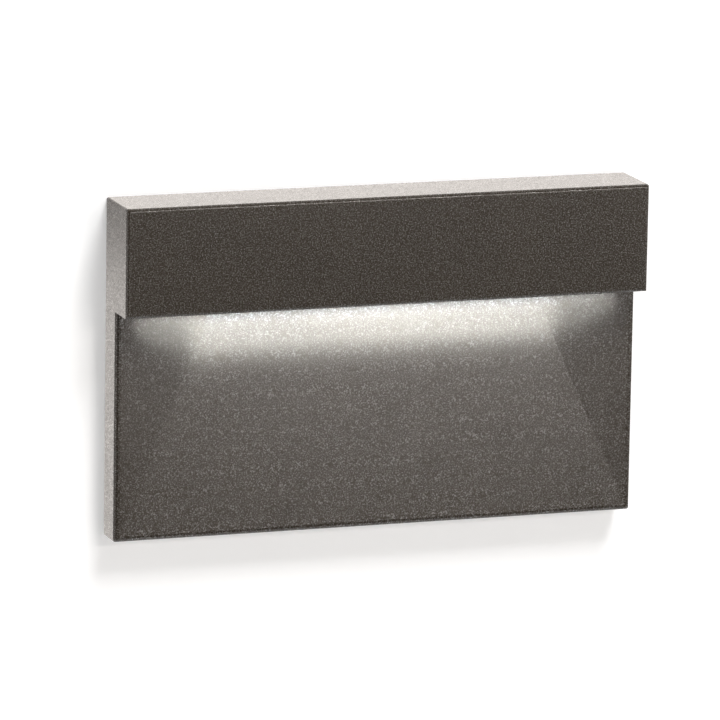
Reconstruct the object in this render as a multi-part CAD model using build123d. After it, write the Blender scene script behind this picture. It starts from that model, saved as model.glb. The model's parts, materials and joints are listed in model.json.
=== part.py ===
from build123d import *
import os

# A hooded step light with a scooped face, for a horizontal single-gang wall box.
# Millimetres. X runs along the face, +Y runs into the wall and Z is up.
# The origin lies on the wall surface, at the middle of the face.

# ---------------------------------------------------------------- face casting
face_width = 127.0
face_height = 79.4
hood_height = 25.4
hood_projection = 15.9
plate_projection = 8.0
outer_wall = 3.0
hood_front_wall = 2.0
hood_floor_wall = 2.0
plate_wall = 1.8
hood_edge_radius = 0.8
plate_edge_radius = 1.0
side_corner_radius = 0.5
scoop_depth = 3.6
scoop_land = 0.3
scoop_crease_run = 22.9

# ------------------------------------------------------------- window and lens
window_end_margin = 14.0    # casting's side to the window's end
window_width = 5.4
window_corner = 1.2
window_setback = 6.1        # hood front to the middle of the window
lens_clearance = 0.2
lens_end_lap = 2.5          # lens rim beyond the window's ends
lens_side_lap = 1.2         # lens rim beyond the window's sides
lens_rim_thickness = 1.5
lens_recess = 0.2           # lens nose above the hood's underside
seal_thickness = 0.8

# ----------------------------------------------------------- lamp carrier, LEDs
carrier_end_gap = 1.0       # lens rim's end to the carrier's end
carrier_side_gap = 0.1      # lens rim's side to the carrier's side
carrier_wall = 1.2
carrier_web_height = 5.2    # lens rim to the web that the board hangs from
carrier_back_rise = 2.0     # back leg above the web
carrier_tab_width = 12.0
carrier_tab_rise = 3.5      # tab above its screw
carrier_screw_spacing = 60.0
carrier_screw_length = 6.5
carrier_boss_half = 3.0     # half the side of the square bosses
board_end_gap = 1.0         # board's end to the carrier's end
board_side_gap = 0.1
board_thickness = 1.2
pad_thickness = 0.3         # thermal pad between the carrier and the board
led_count = 10
led_end_inset = 9.5         # board's end to the nearest LED
led_length = 3.0
led_width = 2.8
led_height = 0.8
phosphor_side = 2.1
phosphor_thickness = 0.2
connector_length = 4.5
connector_width = 4.6
connector_height = 2.8
lead_radius = 0.6
lead_pitch_in_connector = 1.8
lead_turn_gap = 4.2         # board's end to the inner lead's turn
lead_turn_pitch = 2.0       # inner lead's turn to the outer lead's

# ----------------------------------------------------------------- rear housing
flange_thickness = 1.6
flange_corner = 0.8
flange_gap = 0.3            # flange edge to the walls round it
gasket_thickness = 0.8
ledge_width = 2.0
ledge_thickness = 1.2
flange_gap_to_wall = 1.5    # wall surface to the flange's rear face
driver_box_width = 64.0
driver_box_height_share = 0.548     # of the face's height
driver_box_corner = 3.0
driver_box_depth = 30.0     # wall surface to the box's open rear rim
driver_box_wall = 1.8
driver_box_gap = 0.4        # behind the casting's floor and scoop
lead_hole_width = 6.4
lead_hole_height = 3.2
lead_hole_margin = 0.4      # under the box's roof
lead_spread = 1.6           # height between the two leads behind the carrier
lid_thickness = 1.8
lid_gasket_thickness = 0.8
lid_boss_half = 2.8         # half the side of the square lid bosses
lid_boss_bite = 0.6         # how far each lid boss runs into the box's walls
lid_screw_radius = 1.3
lid_screw_length = 10.0
housing_screw_radius = 1.5
housing_screw_length = 9.0
housing_boss_half = 3.0     # half the side of the square bosses
gasket_lap = 1.9            # gasket seat round each boss
side_screw_inset = 4.5
side_screw_drop = 6.7
top_screw_x = 18.0
top_screw_drop = 2.8

# -------------------------------------------------------------- driver circuit
pcb_side_gap = 0.8
pcb_top_gap = 6.0
pcb_bottom_gap = 0.5
pcb_boss_gap = 0.4
pcb_thickness = 1.6
pcb_standoff = 4.4
post_half = 2.2             # half the side of the square posts under the board
# Places on the board are shares of its half width and half height, from its middle.
top_post_share = (0.90, 0.78)
bottom_post_share = (0.71, -0.83)
fuse_share = (0.85, 0.06)
fuse_size = (4.4, 8.4)
fuse_height = 7.6
varistor_share = (0.74, 0.51)
varistor_radius = 3.4
varistor_thickness = 3.2
varistor_leg = 1.4
film_capacitor_share = (0.49, 0.39)
film_capacitor_size = (6.0, 13.0)
film_capacitor_height = 11.4
bulk_capacitor_share = (0.14, 0.51)
bulk_capacitor_radius = 5.0
bulk_capacitor_height = 18.0
choke_share = (-0.27, 0.60)
choke_radius = 4.0
choke_height = 8.0
transformer_share = (-0.37, -0.27)
core_width = 16.0
core_height = 13.4
core_thickness = 5.0
core_leg = 3.0
core_centre_leg = 4.0
core_standoff = 4.2
bobbin_wall = 0.7
bobbin_cheek = 0.8
bobbin_clearance = 0.1
winding_build = 1.5
bridge_share = (0.08, -0.16)
bridge_size = (6.4, 8.4)
bridge_height = 2.5
chip_share = (0.03, -0.78)
chip_size = (5.0, 4.0)
chip_height = 1.6
chip_leg_pitch = 1.27
wire_side = 0.5
resistor_radius = 1.5
resistor_length = 8.6
lying_resistor_share = (-0.36, -0.84)
standing_resistor_share = (-0.80, -0.15)
terminal_pitch = 3.5
terminal_height = 7.0
terminal_depth = 7.0
terminal_well_depth = 2.0
output_terminal_share = -0.68       # along the board
output_terminal_drop = 2.7          # board's top edge to the terminal
input_terminal_share = (0.46, -0.47)
input_terminal_pitch = 5.0
input_terminal_depth = 8.0
input_terminal_height = 10.0

# ------------------------------------------------------------ mounting bracket
bracket_thickness = 1.2
bracket_side_gap = 8.5      # to the casting's side walls
bracket_corner = 3.0
bracket_clearance = 1.5     # round the driver box
bracket_screw_gap = 0.7     # under the heads of the housing's top screws
bracket_bottom_strip = 7.0
box_screw_spacing = 83.3
box_screw_radius = 1.75
box_screw_length = 23.0
box_screw_neck_radius = 1.4
box_screw_thread_lead = 0.05        # full thread starts this far in front of the wall
box_slot_length = 7.0
box_slot_width = 4.2
hook_step = 2.0
hook_reach = 6.8
hook_root = 3.0             # hook's bend inside the bracket's side
hook_top = 9.0
hook_height = 11.0
lug_gap = 2.5               # bracket's side to the casting's lug
lug_end_gap = 0.7           # hook's end to the bottom of the lug's slot
lug_height = 3.0            # lug above and below the hook's top
foot_width = 12.0
foot_depth = 5.0
set_screw_spacing = 60.0
set_screw_radius = 2.0
set_screw_recess = 1.4      # screw's socket above the casting's bottom edge
set_screw_depth = 3.4       # wall surface to the set screw's axis
set_screw_socket_radius = 1.15
set_screw_socket_depth = 2.4
set_screw_boss_radius = 3.0
set_screw_boss_gap = 2.2    # boss to the bracket's foot
ground_screw_side_inset = 6.0
ground_screw_foot_inset = 11.3
ground_screw_radius = 2.1
ground_screw_length = 9.0
ground_screw_head_radius = 3.6
ground_screw_head_height = 2.2
ground_screw_slot_width = 0.9

# --------------------------------------------------------------------- sundries
head_radius_ratio = 1.8     # pan head's radius to its screw's radius
head_height_ratio = 0.85    # pan head's height to its screw's radius
wall_gasket_width = 1.6
wall_gasket_thickness = 1.2
thread_fit = 0.05           # round a screw in its tapped hole
screw_clearance = 0.2       # round a screw in a plain hole
screw_end_gap = 0.5         # beyond a screw in its blind hole
bite = 0.5                  # how far a boss, rib or lug is rooted in its wall
rear_gap = 0.4              # lugs stop this far in front of the wall surface
slide_fit = 0.1             # each side of the bracket's hook in its slot
grommet_bore_radius = 3.2
grommet_neck_radius = 4.8
grommet_flange_radius = 6.4
grommet_inner_lip = 1.6
grommet_outer_lip = 1.8
grommet_share = (0.41, -0.39)       # against the driver board, as above
rib_thickness = 1.4
hood_rib_size = 5.0
plate_rib_height = 6.5

# ------------------------------------------------------- places that follow them
half_width = face_width / 2
face_top = face_height / 2
face_bottom = -face_top
hood_underside = face_top - hood_height
hood_front = -hood_projection
plate_front = -plate_projection

cavity_half_width = half_width - outer_wall
cavity_top = face_top - outer_wall
cavity_bottom = face_bottom + outer_wall
hood_floor_top = hood_underside + hood_floor_wall
hood_inner_front = hood_front + hood_front_wall

floor_back = plate_front + scoop_depth + plate_wall

window_length = face_width - 2 * window_end_margin
window_y = hood_front + window_setback
lens_rim_length = window_length + 2 * lens_end_lap
lens_rim_width = window_width + 2 * lens_side_lap
carrier_length = lens_rim_length - 2 * carrier_end_gap
carrier_width = lens_rim_width - 2 * carrier_side_gap
board_length = carrier_length - 2 * board_end_gap
board_width = carrier_width - 2 * carrier_wall - 2 * board_side_gap
led_pitch = (board_length - 2 * led_end_inset) / (led_count - 1)
seal_top = hood_floor_top + seal_thickness
lens_rim_top = seal_top + lens_rim_thickness
carrier_front = window_y - carrier_width / 2
carrier_back = window_y + carrier_width / 2
carrier_web = lens_rim_top + carrier_web_height
board_top = carrier_web - pad_thickness
board_bottom = board_top - board_thickness
led_bottom = board_bottom - led_height
carrier_screw_x = carrier_screw_spacing / 2
carrier_screw_z = (carrier_web + carrier_wall + cavity_top - ledge_width) / 2

flange_back = -flange_gap_to_wall
flange_front = flange_back - flange_thickness
gasket_front = flange_front - gasket_thickness
flange_half_width = cavity_half_width - flange_gap
flange_bottom = hood_floor_top + flange_gap
flange_top = cavity_top - flange_gap
side_screw_x = cavity_half_width - side_screw_inset
housing_screw_places = [
    (-side_screw_x, cavity_top - side_screw_drop),
    (side_screw_x, cavity_top - side_screw_drop),
    (-top_screw_x, cavity_top - top_screw_drop),
    (top_screw_x, cavity_top - top_screw_drop),
]

lead_y = (carrier_back + flange_front) / 2
positive_lead_z = board_bottom - connector_height * 0.57
negative_lead_z = positive_lead_z - lead_spread
lead_hole_z = (positive_lead_z + negative_lead_z) / 2

box_front = floor_back + driver_box_gap
box_inner_front = box_front + driver_box_wall
box_top = lead_hole_z + lead_hole_height / 2 + lead_hole_margin + driver_box_wall
driver_box_height = face_height * driver_box_height_share
box_bottom = box_top - driver_box_height
driver_box_centre_z = (box_top + box_bottom) / 2
lid_front = driver_box_depth + lid_gasket_thickness
lid_back = lid_front + lid_thickness
lid_boss_inset = driver_box_wall + lid_boss_half - lid_boss_bite
lid_boss_x = driver_box_width / 2 - lid_boss_inset
lid_boss_z = driver_box_height / 2 - lid_boss_inset
lid_screw_places = [
    (side * lid_boss_x, driver_box_centre_z - side * lid_boss_z) for side in (-1, 1)
]

pcb_width = driver_box_width - 2 * driver_box_wall - 2 * pcb_side_gap
pcb_bottom = box_bottom + driver_box_wall + pcb_bottom_gap
pcb_top = box_top - driver_box_wall - pcb_top_gap
pcb_middle = (pcb_bottom + pcb_top) / 2
pcb_front = box_inner_front + pcb_standoff
pcb_back = pcb_front + pcb_thickness
output_terminal_top = pcb_top - output_terminal_drop


def on_pcb(share_along, share_up):
    """Place in X and Z of a spot on the driver board."""
    return (
        share_along * pcb_width / 2,
        pcb_middle + share_up * (pcb_top - pcb_bottom) / 2,
    )


post_places = [
    on_pcb(side * share[0], share[1])
    for share in (top_post_share, bottom_post_share)
    for side in (-1, 1)
]
output_terminal_x, _ = on_pcb(output_terminal_share, 0)
grommet_centre = on_pcb(*grommet_share)

bracket_half_width = cavity_half_width - bracket_side_gap
bracket_top = (
    cavity_top - top_screw_drop - housing_screw_radius * head_radius_ratio - bracket_screw_gap
)
bracket_foot = box_bottom - bracket_clearance - bracket_bottom_strip
set_screw_length = bracket_foot - face_bottom - set_screw_recess
ground_screw_place = (
    ground_screw_side_inset - bracket_half_width,
    bracket_foot + ground_screw_foot_inset,
)


# ------------------------------------------------------------------ small tools
def across(outline, y_front, y_back):
    """Solid of an outline drawn in X and Z, between two depths."""
    return extrude(Plane.XZ.offset(-y_back) * outline, amount=y_back - y_front)


def along(outline, x_left, x_right):
    """Solid of an outline drawn in Y and Z, between two places along the face."""
    return extrude(Plane.YZ.offset(x_left) * outline, amount=x_right - x_left)


def upright(outline, z_low, z_high):
    """Solid of an outline drawn in X and Y, between two heights."""
    return extrude(Plane.XY.offset(z_low) * outline, amount=z_high - z_low)


def rectangle(left, right, low, high):
    """Rectangle between four coordinates."""
    return Pos((left + right) / 2, (low + high) / 2) * Rectangle(right - left, high - low)


def rounded(left, right, low, high, radius):
    """Rectangle with round corners between four coordinates."""
    shape = RectangleRounded(right - left, high - low, radius)
    return Pos((left + right) / 2, (low + high) / 2) * shape


def pin(place, radius, y_front, y_back):
    """Round pin or hole along Y at a place in X and Z."""
    return across(Pos(*place) * Circle(radius), y_front, y_back)


def polygon(*points):
    """Flat outline through points in order."""
    return make_face(Polyline(*points, close=True))


def pan_screw(radius, length):
    """Pan-head screw on Z: its head stands above zero, its shank hangs below."""
    head = Circle(radius * head_radius_ratio)
    return upright(Circle(radius), -length, 0) + upright(head, 0, radius * head_height_ratio)


facing_out = Rot(-90, 0, 0)     # screw driven from behind: its head points into the wall
facing_in = Rot(90, 0, 0)       # screw driven from the front: its head points out


# ----------------------------------------------------------------- face casting
def scoop_space(shift):
    """Space of the three-faceted scoop, moved back by a wall."""
    edge = half_width - plate_edge_radius - scoop_land
    low = face_bottom + plate_edge_radius + scoop_land
    front = plate_front + shift
    back = front + scoop_depth
    slope = along(
        polygon((front, low), (front, hood_underside), (back, hood_underside)),
        -half_width,
        half_width,
    )
    inner = edge - scoop_crease_run
    flanks = upright(
        polygon((-edge, front), (edge, front), (inner, back), (-inner, back)),
        face_bottom,
        face_top,
    )
    return slope & flanks


def outer_form():
    """Plate and hood in one, with their rounded edges."""
    side = polygon(
        (0, face_bottom),
        (plate_front, face_bottom),
        (plate_front, hood_underside),
        (hood_front, hood_underside),
        (hood_front, face_top),
        (0, face_top),
    )
    body = along(side, -half_width, half_width)
    corners = body.edges().filter_by(Axis.Y).filter_by(
        lambda edge: abs(abs(edge.center().Z) - face_top) < 0.01
    )
    body = fillet(corners, side_corner_radius)
    hood_face = body.faces().sort_by(Axis.Y)[0]
    body = fillet(hood_face.edges(), hood_edge_radius)
    plate_face = body.faces().filter_by(Axis.Y).filter_by(
        lambda face: abs(face.center().Y - plate_front) < 0.01
    )[0]
    rim = plate_face.edges().filter_by(
        lambda edge: edge.center().Z < hood_underside - 0.01
    )
    return fillet(rim, plate_edge_radius)


def casting_cavity():
    """Hollow behind the hood and behind the scoop, open to the wall."""
    hood = across(
        rectangle(-cavity_half_width, cavity_half_width, hood_floor_top, cavity_top),
        hood_inner_front,
        0,
    )
    floor_end = across(
        rectangle(-cavity_half_width, cavity_half_width, hood_underside, hood_floor_top),
        floor_back,
        0,
    )
    plate = across(
        rectangle(-cavity_half_width, cavity_half_width, cavity_bottom, hood_underside),
        plate_front + plate_wall,
        0,
    )
    return hood + floor_end + (plate - scoop_space(plate_wall))


def hood_opening():
    """Rear opening of the hood, inside the ledge round it."""
    return rectangle(
        -cavity_half_width + ledge_width,
        cavity_half_width - ledge_width,
        hood_floor_top + ledge_width,
        cavity_top - ledge_width,
    )


def squares(places, half_side):
    """Equal squares at places in X and Z."""
    outline = Sketch()
    for place in places:
        outline += Pos(*place) * Rectangle(2 * half_side, 2 * half_side)
    return outline


def housing_seat():
    """Ledge round the hood's opening, widened round the bosses for the housing screws."""
    room = rectangle(-cavity_half_width, cavity_half_width, hood_floor_top, cavity_top)
    ledge = room - hood_opening()
    ledge += squares(housing_screw_places, housing_boss_half + gasket_lap) & room
    bosses = squares(housing_screw_places, housing_boss_half) & room
    seat = across(ledge, gasket_front - ledge_thickness, gasket_front)
    return seat + across(bosses, hood_inner_front - bite, flange_front)


def carrier_bosses():
    """Two bosses on the hood's front wall that hold the lamp carrier."""
    places = [(side * carrier_screw_x, carrier_screw_z) for side in (-1, 1)]
    return across(
        squares(places, carrier_boss_half), hood_inner_front - bite, carrier_back - carrier_wall
    )


def stiffening_ribs():
    """Gussets in the hood's front corner and along the plate's bottom wall."""
    hood_rib = polygon(
        (hood_inner_front - bite, cavity_top + bite),
        (hood_inner_front - bite, cavity_top - hood_rib_size),
        (hood_inner_front, cavity_top - hood_rib_size),
        (hood_inner_front + hood_rib_size, cavity_top),
        (hood_inner_front + hood_rib_size, cavity_top + bite),
    )
    plate_root = plate_front + plate_wall - bite
    plate_rib = polygon(
        (plate_root, cavity_bottom - bite),
        (-bracket_thickness, cavity_bottom - bite),
        (-bracket_thickness, cavity_bottom),
        (plate_root + 2 * bite + scoop_depth * 0.2, cavity_bottom + plate_rib_height),
        (plate_root, cavity_bottom + plate_rib_height),
    )
    ribs = Part()
    half = rib_thickness / 2
    for x in (-1.5 * carrier_screw_x, 0, 1.5 * carrier_screw_x):
        ribs += along(hood_rib, x - half, x + half)
    for x in (-1.6, -0.4, 0.4, 1.6):
        middle = x * set_screw_spacing / 2
        ribs += along(plate_rib, middle - half, middle + half)
    return ribs


def hook_lugs():
    """Lugs on the side walls, slotted from below for the bracket's hooks."""
    inner = bracket_half_width + lug_gap
    slot_end = bracket_half_width + hook_reach + lug_end_gap
    low = hook_top - lug_height
    lug = across(
        rectangle(inner, cavity_half_width + bite, low, hook_top + lug_height),
        plate_front + plate_wall - bite,
        -rear_gap,
    )
    lug -= scoop_space(plate_wall - bite)
    lug -= across(
        rectangle(inner - 1, slot_end, low - 1, hook_top),
        -hook_step - bracket_thickness - slide_fit,
        -hook_step + slide_fit,
    )
    return lug + mirror(lug, Plane.YZ)


def set_screw_bosses():
    """Bosses on the bottom wall that the set screws thread into."""
    bosses = Part()
    radius = set_screw_boss_radius
    for side in (-1, 1):
        x = side * set_screw_spacing / 2
        outline = rectangle(x - radius, x + radius, plate_front + plate_wall - bite, -rear_gap)
        bosses += upright(outline, cavity_bottom - bite, bracket_foot - set_screw_boss_gap)
    return bosses


def wall_gasket_strip():
    """Closed strip in the middle of the casting's rear rim."""
    middle = outer_wall / 2
    outer = half_width - middle + wall_gasket_width / 2
    outer_z = face_top - middle + wall_gasket_width / 2
    inner = outer - wall_gasket_width
    inner_z = outer_z - wall_gasket_width
    hole = rectangle(-inner, inner, -inner_z, inner_z)
    ring = rectangle(-outer, outer, -outer_z, outer_z) - hole
    return across(ring, -wall_gasket_thickness, 0)


def make_face_casting():
    """Die-cast hood and scooped plate, hollow from behind."""
    body = outer_form() - scoop_space(0) - casting_cavity()
    body += housing_seat()
    body += carrier_bosses()
    body += stiffening_ribs()
    body += hook_lugs()
    body += set_screw_bosses()
    window = RectangleRounded(window_length, window_width, window_corner)
    body -= upright(Pos(0, window_y) * window, hood_underside - 1, hood_floor_top + 1)
    for place in housing_screw_places:
        body -= pin(
            place,
            housing_screw_radius + thread_fit,
            flange_back - housing_screw_length - screw_end_gap,
            flange_front,
        )
    for side in (-1, 1):
        body -= pin(
            (side * carrier_screw_x, carrier_screw_z),
            housing_screw_radius + thread_fit,
            carrier_back - carrier_screw_length - screw_end_gap,
            carrier_back,
        )
        x = side * set_screw_spacing / 2
        bore = Pos(x, -set_screw_depth) * Circle(set_screw_radius + thread_fit)
        body -= upright(bore, face_bottom - 1, bracket_foot)
    return body - wall_gasket_strip()


# -------------------------------------------------------------- window and lens
def lens_rim_outline():
    return Pos(0, window_y) * Rectangle(lens_rim_length, lens_rim_width)


def make_lens_seal():
    """Flat seal under the lens rim, round the window."""
    window = RectangleRounded(window_length, window_width, window_corner)
    return upright(lens_rim_outline() - Pos(0, window_y) * window, hood_floor_top, seal_top)


def make_window_lens():
    """Frosted lens: a rim on the seal and a nose that fills the window."""
    nose = Pos(0, window_y) * RectangleRounded(
        window_length - 2 * lens_clearance,
        window_width - 2 * lens_clearance,
        window_corner - lens_clearance,
    )
    lens = upright(lens_rim_outline(), seal_top, lens_rim_top)
    return lens + upright(nose, hood_underside + lens_recess, seal_top)


# --------------------------------------------------------- lamp carrier and LEDs
def make_led_carrier():
    """Extruded aluminium section that clamps the lens and holds the LED board."""
    back_top = carrier_web + carrier_wall + carrier_back_rise
    section = rectangle(carrier_front, carrier_back, lens_rim_top, carrier_web + carrier_wall)
    section -= rectangle(
        carrier_front + carrier_wall,
        carrier_back - carrier_wall,
        lens_rim_top - 1,
        carrier_web,
    )
    section += rectangle(
        carrier_back - carrier_wall,
        carrier_back,
        carrier_web,
        back_top,
    )
    carrier = along(section, -carrier_length / 2, carrier_length / 2)
    tab_top = carrier_screw_z + carrier_tab_rise
    for side in (-1, 1):
        x = side * carrier_screw_x
        tab = rectangle(
            x - carrier_tab_width / 2, x + carrier_tab_width / 2, carrier_web, tab_top
        )
        carrier += across(tab, carrier_back - carrier_wall, carrier_back)
        carrier -= pin(
            (x, carrier_screw_z),
            housing_screw_radius + screw_clearance,
            carrier_back - carrier_wall - 1,
            carrier_back + 1,
        )
    return carrier


def make_carrier_screws():
    screw = pan_screw(housing_screw_radius, carrier_screw_length)
    return [
        Pos(side * carrier_screw_x, carrier_back, carrier_screw_z) * facing_out * screw
        for side in (-1, 1)
    ]


def led_board_outline():
    return Pos(0, window_y) * Rectangle(board_length, board_width)


def make_thermal_pad():
    return upright(led_board_outline(), board_top, carrier_web)


def make_led_board():
    """Metal-core board that hangs from the pad under the carrier's web."""
    return upright(led_board_outline(), board_bottom, board_top)


def led_places():
    return [(i - (led_count - 1) / 2) * led_pitch for i in range(led_count)]


def make_led_packages():
    package = upright(Rectangle(led_length, led_width), led_bottom, board_bottom)
    return [Pos(x, window_y) * package for x in led_places()]


def make_led_phosphors():
    patch = Rectangle(phosphor_side, phosphor_side)
    body = upright(patch, led_bottom - phosphor_thickness, led_bottom)
    return [Pos(x, window_y) * body for x in led_places()]


def make_led_connector():
    """Two-way connector at the board's end, where the leads come out."""
    left = -board_length / 2
    outline = rectangle(
        window_y - connector_width / 2,
        window_y + connector_width / 2,
        board_bottom - connector_height,
        board_bottom,
    )
    body = along(outline, left, left + connector_length)
    for side in (-1, 1):
        groove = rectangle(
            window_y + side * lead_pitch_in_connector / 2 - 0.4,
            window_y + side * lead_pitch_in_connector / 2 + 0.4,
            board_bottom - connector_height - 1,
            board_bottom - connector_height + 0.5,
        )
        body -= along(groove, left + 1.5, left + connector_length + 1)
    return body


def lead(exit_y, turn_gap, run_z, terminal_x):
    """Insulated wire: connector, carrier's end, carrier's back, flange, terminal."""
    start_x = -board_length / 2
    turn_x = start_x - turn_gap
    terminal_y = pcb_back + terminal_height / 2
    path = Polyline(
        (start_x, exit_y, positive_lead_z),
        (turn_x, exit_y, positive_lead_z),
        (turn_x, lead_y, run_z),
        (terminal_x, lead_y, run_z),
        (terminal_x, terminal_y, run_z),
        (terminal_x, terminal_y, output_terminal_top),
    )
    start = Plane(origin=path @ 0, z_dir=path % 0)
    section = start * RegularPolygon(lead_radius, 8)
    return sweep(section, path=path, transition=Transition.RIGHT)


def make_led_lead_positive():
    return lead(
        window_y - lead_pitch_in_connector / 2,
        lead_turn_gap + lead_turn_pitch,
        positive_lead_z,
        output_terminal_x - terminal_pitch / 2,
    )


def make_led_lead_negative():
    return lead(
        window_y + lead_pitch_in_connector / 2,
        lead_turn_gap,
        negative_lead_z,
        output_terminal_x + terminal_pitch / 2,
    )


# ----------------------------------------------------------------- rear housing
def flange_outline():
    half = flange_half_width
    return rounded(-half, half, flange_bottom, flange_top, flange_corner)


def make_housing_gasket():
    """Gasket on the hood's ledge that passes inside the screw bosses."""
    seats = squares(housing_screw_places, housing_boss_half + gasket_lap)
    ring = (flange_outline() - hood_opening()) + (seats & flange_outline())
    ring -= squares(housing_screw_places, housing_boss_half + screw_clearance)
    return across(ring, gasket_front, flange_front)


def driver_box_outline(inset):
    corner = driver_box_corner - inset * 0.8
    width = driver_box_width - 2 * inset
    height = driver_box_height - 2 * inset
    return Pos(0, driver_box_centre_z) * RectangleRounded(width, height, corner)


def make_rear_housing():
    """Moulded flange that closes the hood, with the driver box behind it."""
    body = across(flange_outline(), flange_front, flange_back)
    body += across(driver_box_outline(0), box_front, driver_box_depth)
    above_floor = rectangle(-flange_half_width, flange_half_width, flange_bottom, box_top)
    body += across(driver_box_outline(0) & above_floor, flange_front, box_inner_front)
    body -= across(driver_box_outline(driver_box_wall), box_inner_front, driver_box_depth)
    lid_bosses = squares(lid_screw_places, lid_boss_half)
    body += across(lid_bosses, box_inner_front - bite, driver_box_depth)
    body += across(squares(post_places, post_half), box_inner_front - bite, pcb_front)
    for place in lid_screw_places:
        body -= pin(
            place,
            lid_screw_radius + thread_fit,
            lid_back - lid_screw_length - screw_end_gap,
            driver_box_depth,
        )
    for place in housing_screw_places:
        body -= pin(
            place, housing_screw_radius + screw_clearance, flange_front, flange_back
        )
    lead_hole = Pos(output_terminal_x, lead_hole_z) * RectangleRounded(
        lead_hole_width, lead_hole_height, 1.5
    )
    return body - across(lead_hole, flange_front, box_inner_front)


def make_housing_screws():
    screw = pan_screw(housing_screw_radius, housing_screw_length)
    return [
        Pos(place[0], flange_back, place[1]) * facing_out * screw
        for place in housing_screw_places
    ]


def make_lid_gasket():
    ring = driver_box_outline(0) - driver_box_outline(driver_box_wall)
    ring += squares(lid_screw_places, lid_boss_half)
    for place in lid_screw_places:
        ring -= Pos(*place) * Circle(lid_screw_radius + screw_clearance)
    return across(ring, driver_box_depth, lid_front)


def make_driver_lid():
    """Rear lid of the driver box, holed for its screws and the supply grommet."""
    lid = across(driver_box_outline(0), lid_front, lid_back)
    for place in lid_screw_places:
        lid -= pin(place, lid_screw_radius + screw_clearance, lid_front, lid_back)
    return lid - pin(grommet_centre, grommet_neck_radius, lid_front, lid_back)


def make_lid_screws():
    screw = pan_screw(lid_screw_radius, lid_screw_length)
    return [
        Pos(place[0], lid_back, place[1]) * facing_out * screw for place in lid_screw_places
    ]


def make_supply_grommet():
    """Rubber grommet in the lid that the supply leads pass through."""
    inner_end = -grommet_inner_lip
    outer_end = lid_thickness + grommet_outer_lip
    profile = polygon(
        (grommet_bore_radius, inner_end),
        (grommet_flange_radius, inner_end),
        (grommet_flange_radius, 0),
        (grommet_neck_radius, 0),
        (grommet_neck_radius, lid_thickness),
        (grommet_flange_radius, lid_thickness),
        (grommet_flange_radius, outer_end),
        (grommet_bore_radius, outer_end),
    )
    body = revolve(Plane.XZ * profile, Axis.Z)
    return Pos(grommet_centre[0], lid_front, grommet_centre[1]) * facing_out * body


# --------------------------------------------------------------- driver circuit
def make_driver_board():
    """Circuit board staked to the box's posts, notched round the lid bosses."""
    board = rectangle(-pcb_width / 2, pcb_width / 2, pcb_bottom, pcb_top)
    board -= squares(lid_screw_places, lid_boss_half + pcb_boss_gap)
    return across(board, pcb_front, pcb_back)


def spot(share):
    return Pos(*on_pcb(*share))


def on_board(outline, height):
    """Component standing on the board's rear side."""
    return across(outline, pcb_back, pcb_back + height)


def rear_edges(body):
    """Edges of a component's end that faces away from the board."""
    return body.faces().sort_by(Axis.Y)[-1].edges()


def make_fuse():
    return on_board(spot(fuse_share) * Rectangle(*fuse_size), fuse_height)


def make_varistor():
    """Disc on two legs."""
    x, z = on_pcb(*varistor_share)
    axis_y = pcb_back + varistor_leg + varistor_radius
    disc = Pos(x, axis_y, z) * Cylinder(varistor_radius, varistor_thickness)
    for side in (-1, 1):
        leg = Pos(x + side * varistor_radius / 2, z) * Rectangle(wire_side, wire_side)
        disc += across(leg, pcb_back, axis_y)
    return disc


def make_film_capacitor():
    outline = spot(film_capacitor_share) * Rectangle(*film_capacitor_size)
    return chamfer(rear_edges(on_board(outline, film_capacitor_height)), 0.4)


def make_bulk_capacitor():
    """Electrolytic can."""
    return on_board(
        spot(bulk_capacitor_share) * Circle(bulk_capacitor_radius), bulk_capacitor_height
    )


def make_filter_choke():
    """Drum choke in a shrunk sleeve."""
    return on_board(spot(choke_share) * Circle(choke_radius), choke_height)


core_x, core_z = on_pcb(*transformer_share)
core_front = pcb_back + core_standoff
core_back = core_front + core_thickness
core_window = (core_width - core_centre_leg) / 2 - core_leg
bobbin_hole_half = core_centre_leg / 2 + bobbin_clearance
bobbin_half_height = core_height / 2 - core_leg - bobbin_clearance


def make_transformer_core():
    """Pair of E halves: outer legs, yokes and a centre leg."""
    outline = Rectangle(core_width, core_height)
    window_x = core_centre_leg / 2 + core_window / 2
    for side in (-1, 1):
        window = Rectangle(core_window, core_height - 2 * core_leg)
        outline -= Pos(side * window_x, 0) * window
    return across(Pos(core_x, core_z) * outline, core_front, core_back)


def bobbin_section(half_width, margin):
    """Rectangle round the core's centre leg, in plan."""
    return rectangle(
        core_x - half_width,
        core_x + half_width,
        core_front - margin,
        core_back + margin,
    )


def make_transformer_bobbin():
    """Bobbin on the core's centre leg, its cheeks standing on the board."""
    hole = bobbin_section(bobbin_hole_half, bobbin_clearance)
    sleeve = bobbin_section(bobbin_hole_half + bobbin_wall, bobbin_clearance + bobbin_wall)
    cheek = bobbin_section(core_centre_leg / 2 + core_window - bobbin_clearance, core_standoff)
    low = core_z - bobbin_half_height
    high = core_z + bobbin_half_height
    body = upright(sleeve - hole, low, high)
    body += upright(cheek - hole, low, low + bobbin_cheek)
    body += upright(cheek - hole, high - bobbin_cheek, high)
    return body


def make_transformer_winding():
    """Taped winding between the bobbin's cheeks."""
    margin = bobbin_clearance + bobbin_wall
    inner = bobbin_section(bobbin_hole_half + bobbin_wall, margin)
    outer = bobbin_section(bobbin_hole_half + bobbin_wall + winding_build, margin + winding_build + 1)
    half = bobbin_half_height - bobbin_cheek
    body = upright(outer, core_z - half, core_z + half)
    body = chamfer(body.edges().filter_by(Axis.Z), winding_build * 0.6)
    return body - upright(inner, core_z - half, core_z + half)


def make_bridge_rectifier():
    body = on_board(spot(bridge_share) * Rectangle(*bridge_size), bridge_height)
    return chamfer(rear_edges(body), 0.4)


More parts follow.
